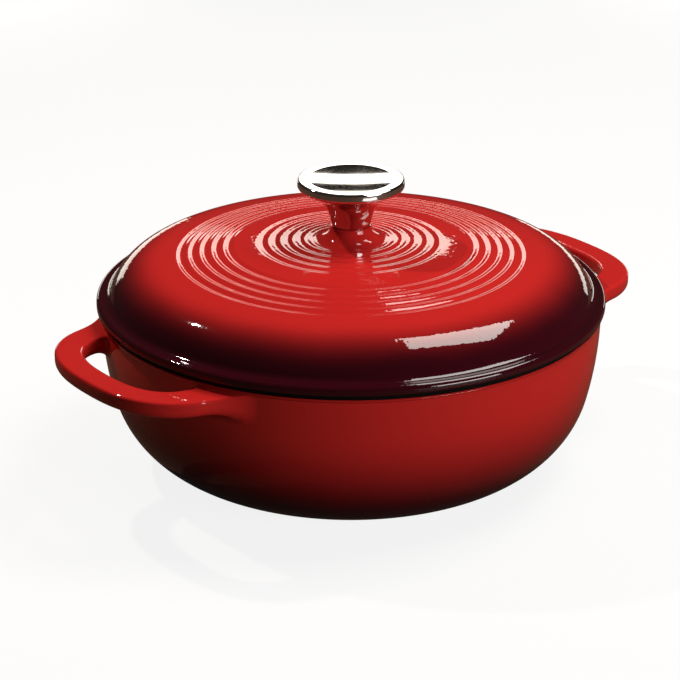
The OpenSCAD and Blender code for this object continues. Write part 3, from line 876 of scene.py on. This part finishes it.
class POTLOOKS_OT_knob(bpy.types.Operator):
    """Builds the steel knob: a cap on a flared, hollow stem"""
    bl_idname = "pot_looks.knob"
    bl_label = "Knob"

    def execute(self, context):
        k = context.scene.pot_looks_knob
        stem = new_object("knob_skirt", *revolve(stem_profile(k), KNOB_STEPS, closed=True),
                          "lid", finish("steel"), "polished_steel")
        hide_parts("knob_stem")
        cap = new_object("knob_face", *revolve(cap_profile(k), KNOB_STEPS), "lid",
                         finish("steel"), "polished_steel")
        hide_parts("knob_cap")
        return {"FINISHED"}


class POTLOOKS_OT_fastening(bpy.types.Operator):
    """Finishes the screw, its washers and the insert that it holds"""
    bl_idname = "pot_looks.fastening"
    bl_label = "Fastening"

    def execute(self, context):
        for name in ("knob_insert", "knob_screw", "flat_washer", "lock_washer"):
            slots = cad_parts[name].material_slots
            if not slots:
                raise RuntimeError(f"{name} has no material slot")
            for item in slots:
                item.material = finish("zinc")
        return {"FINISHED"}


def studio(x, y, z):
    """Point given to the right of, away from and above the pot, as the camera looks at it."""
    turn = -bpy.context.scene.pot_looks_stage.azimuth
    c, s = math.cos(turn), math.sin(turn)
    return Vector((x * c + y * s, -x * s + y * c, z))


def aim(obj, place, target):
    """Puts a camera or a lamp in its place, looking at its target."""
    obj.location = place
    obj.rotation_euler = (target - place).to_track_quat("-Z", "Y").to_euler()


LID_MIDDLE = (0.0, 0.0, 0.1)
LAMPS = (   # name, place, target, width, depth, power and colour
    ("overhead_softbox", (0.54, 0.17, 1.17), LID_MIDDLE, 0.62, 0.62, 11.4, "#fffaf4"),
    ("side_lamp", (-0.42, 0.18, 0.61), LID_MIDDLE, 0.025, 0.025, 2.3, "#fff6ec"),
    ("back_panel", (0.005, 0.9, 0.4685), LID_MIDDLE, 0.3, 0.107, 0.38, "#fff4e8"),
    ("back_strip", (0.005, 0.9, 0.304), LID_MIDDLE, 0.034, 0.034, 0.006, "#fff4e8"),
    ("low_left_strip", (-0.37, 0.9, 0.095), LID_MIDDLE, 0.36, 0.15, 0.4, "#fff4e8"),
    ("low_right_strip", (0.42, 0.9, 0.07), LID_MIDDLE, 0.46, 0.1, 0.35, "#fff4e8"),
    ("front_fill", (1.14, -0.96, 0.4), (0.0, 0.0, 0.06), 0.8, 0.42, 12.4, "#fffcfa"),
    ("floor_card", (0.306, -0.366, 0.001), (0.3035, -0.363, 1.0), 0.26, 0.11, 0.14, "#fffaf4"),
)
FLOOR_R, FLOOR_Z = 3.0, -0.00005    # radius of the paper, and its height just below the pot
SENSOR, SHIFT = 36.0, -0.0162       # width of the camera's sensor in mm, and its sideways shift


def lamp(name, place, target, width, depth, power, code):
    """Area lamp that faces a target."""
    light = bpy.data.lights.new(name, "AREA")
    light.shape = "RECTANGLE"
    light.size = width
    light.size_y = depth
    light.energy = power
    light.color = srgb(code)
    obj = bpy.data.objects.new(name, light)
    bpy.context.scene.collection.objects.link(obj)
    aim(obj, studio(*place), studio(*target))


class POTLOOKS_OT_stage(bpy.types.Operator):
    """Sets up the camera, the floor, the lamps and the room"""
    bl_idname = "pot_looks.stage"
    bl_label = "Stage"

    def execute(self, context):
        scene = context.scene
        s = scene.pot_looks_stage
        data = bpy.data.cameras.new("camera")
        data.lens = s.lens
        data.sensor_width = SENSOR
        data.shift_x = SHIFT
        camera = bpy.data.objects.new("camera", data)
        scene.collection.objects.link(camera)
        across = -s.distance * math.cos(s.elevation)
        aim(camera, studio(0.0, across, s.target_z + s.distance * math.sin(s.elevation)),
            studio(0.0, 0.0, s.target_z))
        scene.camera = camera

        verts, faces = revolve([(0.0, FLOOR_Z), (0.5, FLOOR_Z), (FLOOR_R, FLOOR_Z)],
                               FLOOR_STEPS)
        mesh = bpy.data.meshes.new("floor")
        mesh.from_pydata(verts, [], [f[::-1] for f in faces])
        floor = bpy.data.objects.new("floor", mesh)
        scene.collection.objects.link(floor)
        mesh.materials.append(finish("floor"))

        for numbers in LAMPS:
            lamp(*numbers)

        world = bpy.data.worlds.new("studio")
        scene.world = world
        world.use_nodes = True
        tree = world.node_tree
        tree.nodes.clear()
        ray = add(tree, "ShaderNodeLightPath").outputs
        room = add(tree, "ShaderNodeBackground", {"Color": rgba(srgb("#a08c78")), "Strength": 0.05})
        white = add(tree, "ShaderNodeBackground", {"Color": rgba(s.floor), "Strength": 1.0})
        mixed = add(tree, "ShaderNodeMixShader",
                    {0: seen_white(tree, ray, 1.0), 1: room, 2: white})
        add(tree, "ShaderNodeOutputWorld", {"Surface": mixed})
        scene.view_settings.view_transform = "Standard"
        return {"FINISHED"}


OPERATORS = (POTLOOKS_OT_pot, POTLOOKS_OT_lid, POTLOOKS_OT_knob, POTLOOKS_OT_fastening,
             POTLOOKS_OT_stage)


class POTLOOKS_PT_panel(bpy.types.Panel):
    """Lists the pot's pieces, with their sizes and colours."""
    bl_idname = "POTLOOKS_PT_panel"
    bl_label = "Covered Cast Iron Pot"
    bl_space_type = "VIEW_3D"
    bl_region_type = "UI"
    bl_category = "Cookware"

    def draw(self, context):
        for operator in OPERATORS:
            self.layout.operator(operator.bl_idname)
        for name, group in SETTINGS.items():
            box = self.layout.box()
            settings = getattr(context.scene, name)
            box.label(text=group.__doc__)
            for field in group.__annotations__:
                box.prop(settings, field)


def register():
    """Adds the pot's settings, operators and panel."""
    for item in (*SETTINGS.values(), *OPERATORS, POTLOOKS_PT_panel):
        bpy.utils.register_class(item)
    for name, group in SETTINGS.items():
        setattr(bpy.types.Scene, name, PointerProperty(type=group))


def unregister():
    """Takes them away again."""
    for name in SETTINGS:
        delattr(bpy.types.Scene, name)
    for item in (POTLOOKS_PT_panel, *OPERATORS, *SETTINGS.values()):
        bpy.utils.unregister_class(item)


def main():
    """Builds every piece and the stage."""
    register()
    bpy.ops.pot_looks.pot()
    bpy.ops.pot_looks.lid()
    bpy.ops.pot_looks.knob()
    bpy.ops.pot_looks.fastening()
    bpy.ops.pot_looks.stage()


if __name__ == "__main__":
    main()
